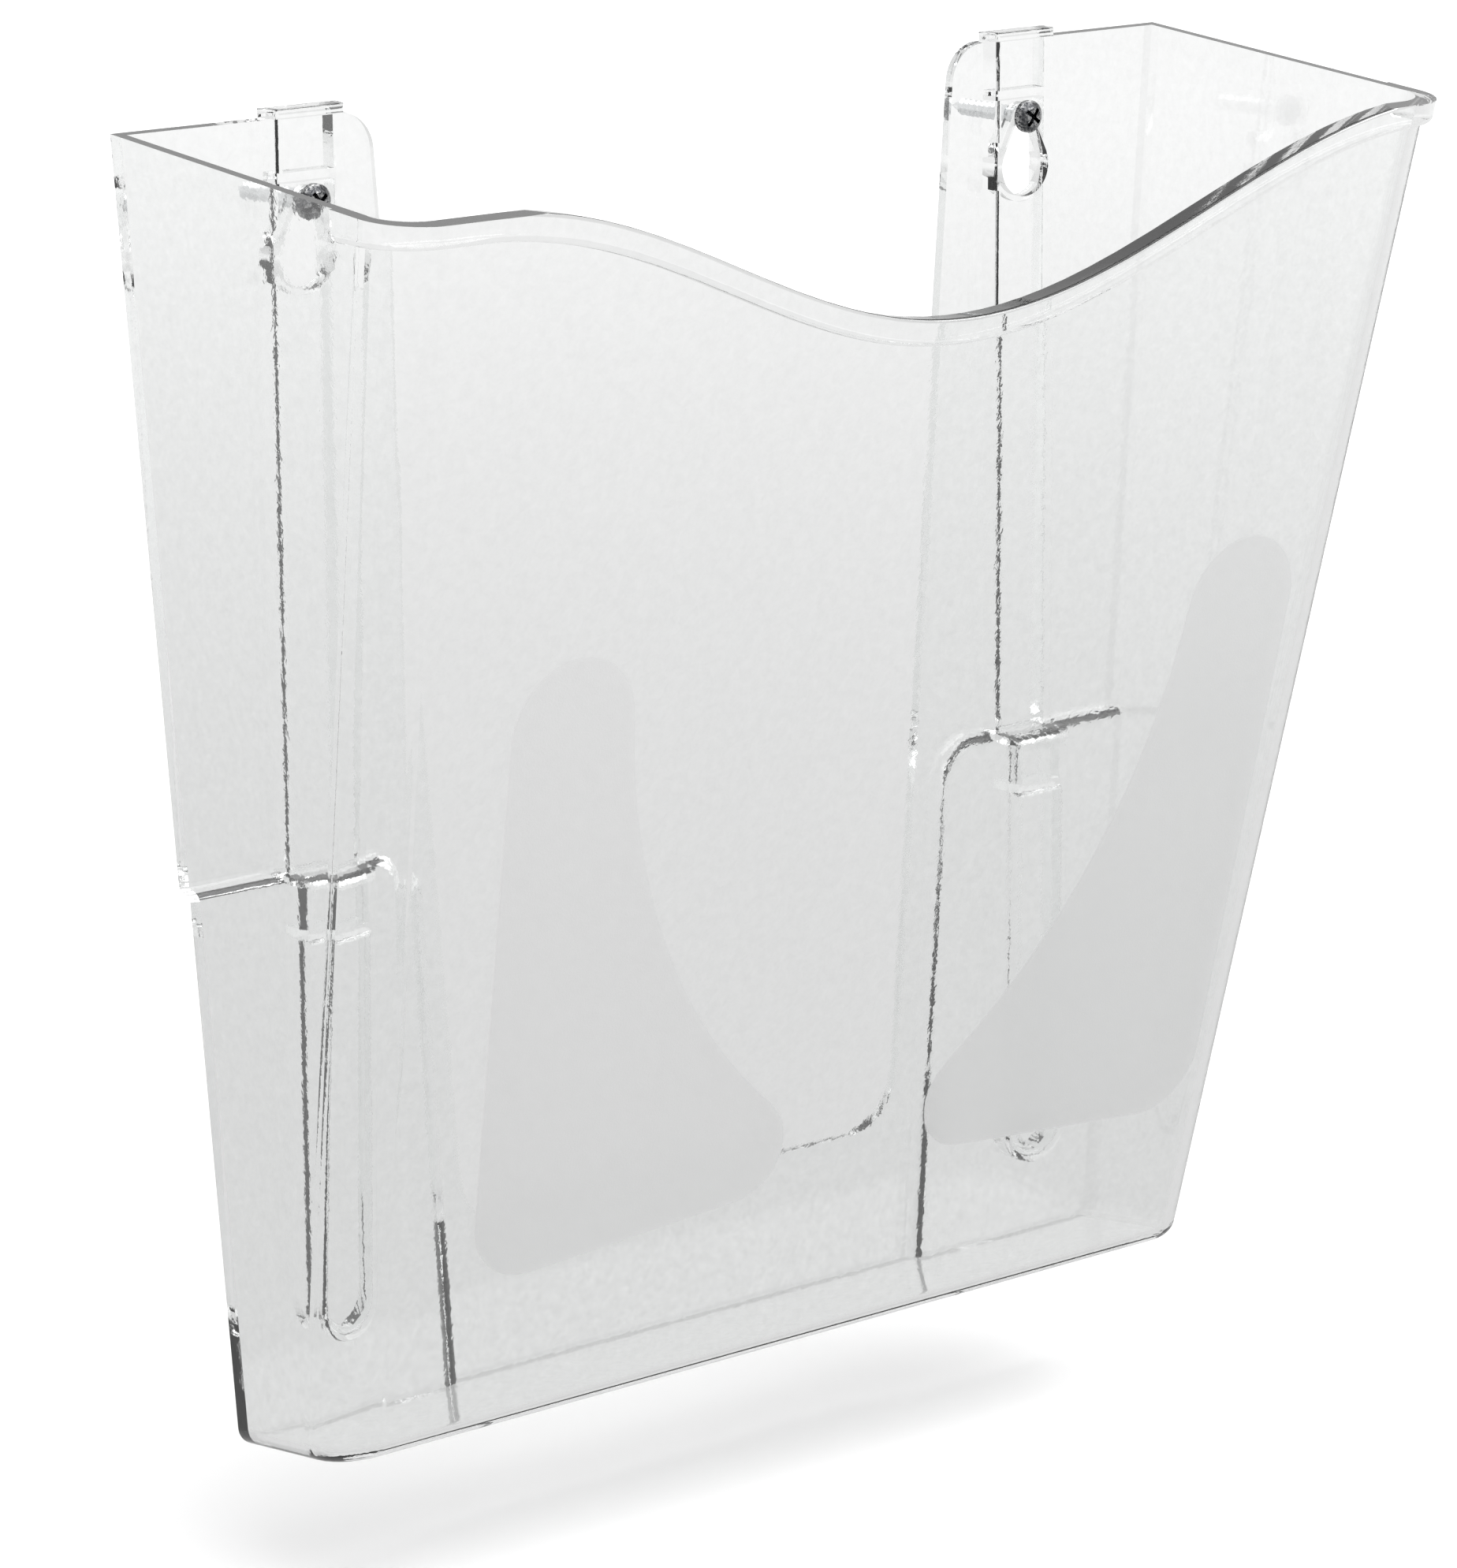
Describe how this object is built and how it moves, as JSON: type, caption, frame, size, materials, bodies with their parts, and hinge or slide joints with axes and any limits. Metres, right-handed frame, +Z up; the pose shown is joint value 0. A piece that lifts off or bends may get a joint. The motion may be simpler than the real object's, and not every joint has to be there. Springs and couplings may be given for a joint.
{
  "type": "magazine rack",
  "caption": "Wall-hung clear magazine pocket with a wavy front edge, tapered sides and open back, hung by keyhole ribs on screws.",
  "frame": {"origin": "halfway between the two screw axes, on the wall's face", "axes": "+X to the right seen from the front, +Y into the wall, +Z up"},
  "size_m": [0.2598, 0.107, 0.2595],
  "materials": {
    "clear_plastic": "crystal-clear moulded polystyrene with a fine pebble and two satin patches on the front",
    "dark_screw": "black-zinc screw with a cross recess"
  },
  "bodies": {
    "wall_screws": {"left_screw": "dark_screw", "right_screw": "dark_screw"},
    "rack": {"rack_moulding": "clear_plastic"}
  },
  "joints": [
    {"name": "lift", "type": "slide", "parent": "wall_screws", "child": "rack", "axis": [0, 0, 1], "range_m": [0, 0.0102]}
  ]
}
